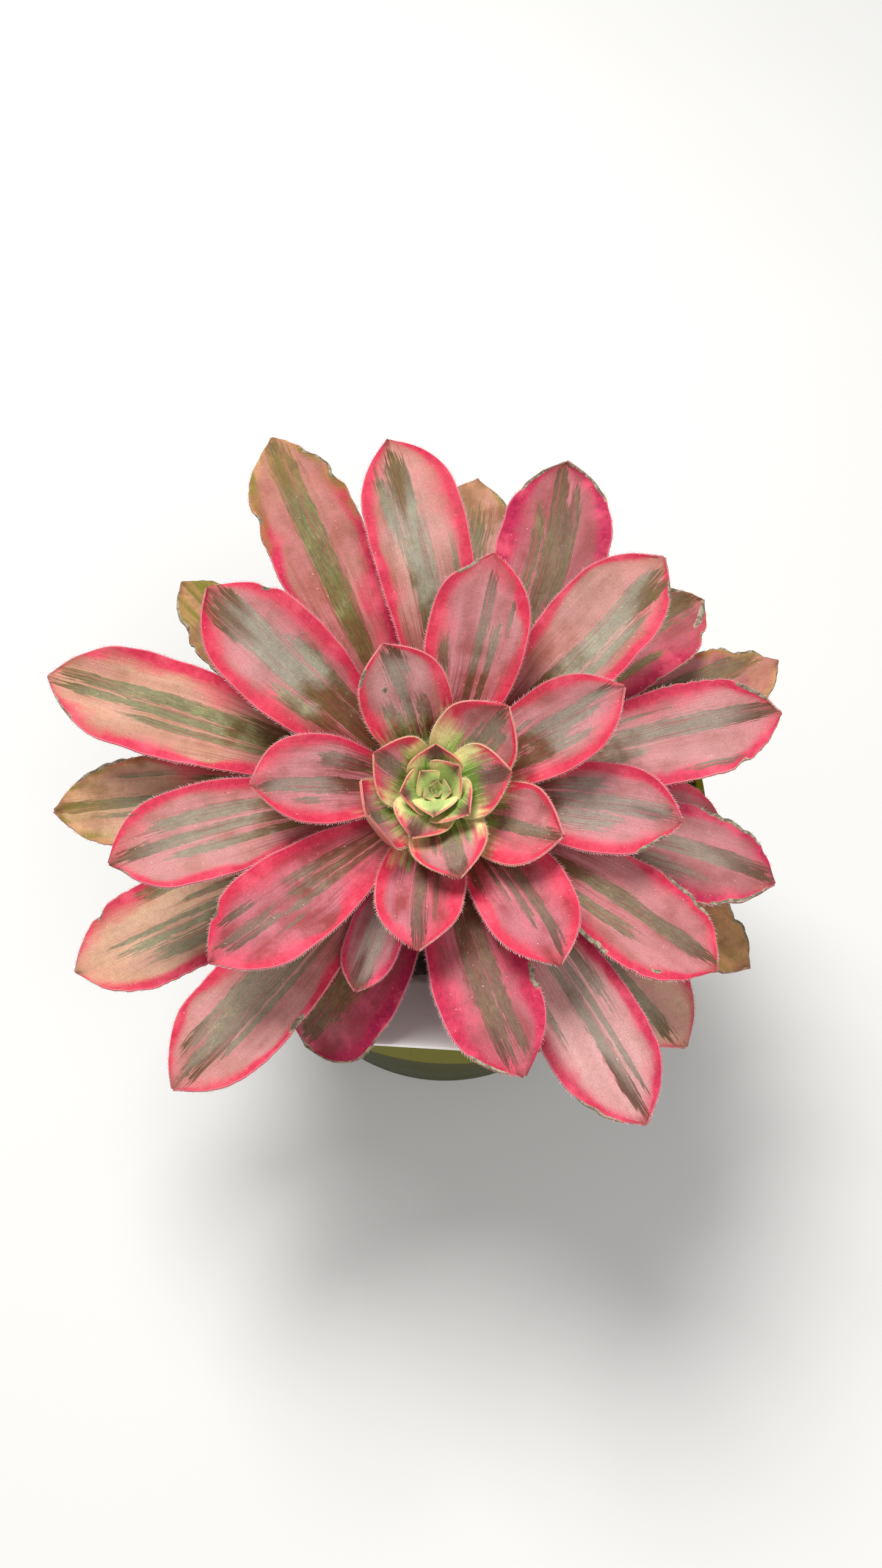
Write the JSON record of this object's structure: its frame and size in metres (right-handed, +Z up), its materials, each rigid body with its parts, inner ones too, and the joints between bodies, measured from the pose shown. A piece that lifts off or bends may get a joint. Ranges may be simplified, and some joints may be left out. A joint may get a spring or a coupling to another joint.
{
  "type": "potted aeonium",
  "caption": "Potted rosette succulent: spoon-shaped striped leaves with pink margins on a leaning stem, in soil in a round tapered plastic nursery pot with a blank plant label.",
  "frame": {"origin": "centre of the pot's underside, on the surface that it stands on", "axes": "+Z up; the plant and the label lean towards -Y, which faces the viewer; +X to the viewer's right"},
  "size_m": [0.2205, 0.1966, 0.2034],
  "materials": {
    "leaf": "matte",
    "young_leaf": "matte",
    "aged_leaf": "matte",
    "stem": "matte",
    "soil": "matte",
    "pot": "satin",
    "label": "satin"
  },
  "bodies": {
    "root": {"pot": "pot", "soil": "soil", "stem": "stem", "rosette_heart": "young_leaf", "leaf_13": "leaf", "leaf_14": "leaf", "leaf_15": "leaf", "leaf_16": "leaf", "leaf_17": "leaf", "leaf_18": "leaf", "leaf_19": "leaf", "leaf_20": "leaf", "leaf_21": "leaf", "leaf_22": "leaf", "leaf_23": "leaf", "leaf_24": "leaf", "leaf_25": "leaf", "leaf_26": "leaf", "leaf_27": "leaf", "leaf_28": "leaf", "leaf_29": "leaf", "leaf_30": "leaf", "leaf_31": "leaf", "leaf_32": "leaf", "leaf_33": "leaf", "leaf_34": "leaf", "leaf_35": "leaf", "leaf_37": "leaf", "leaf_38": "leaf", "leaf_39": "leaf", "leaf_40": "leaf", "leaf_41": "leaf", "leaf_42": "leaf", "leaf_43": "aged_leaf", "leaf_46": "aged_leaf", "leaf_47": "aged_leaf", "leaf_48": "aged_leaf", "leaf_55": "aged_leaf", "plant_label": "label"}
  },
  "joints": []
}
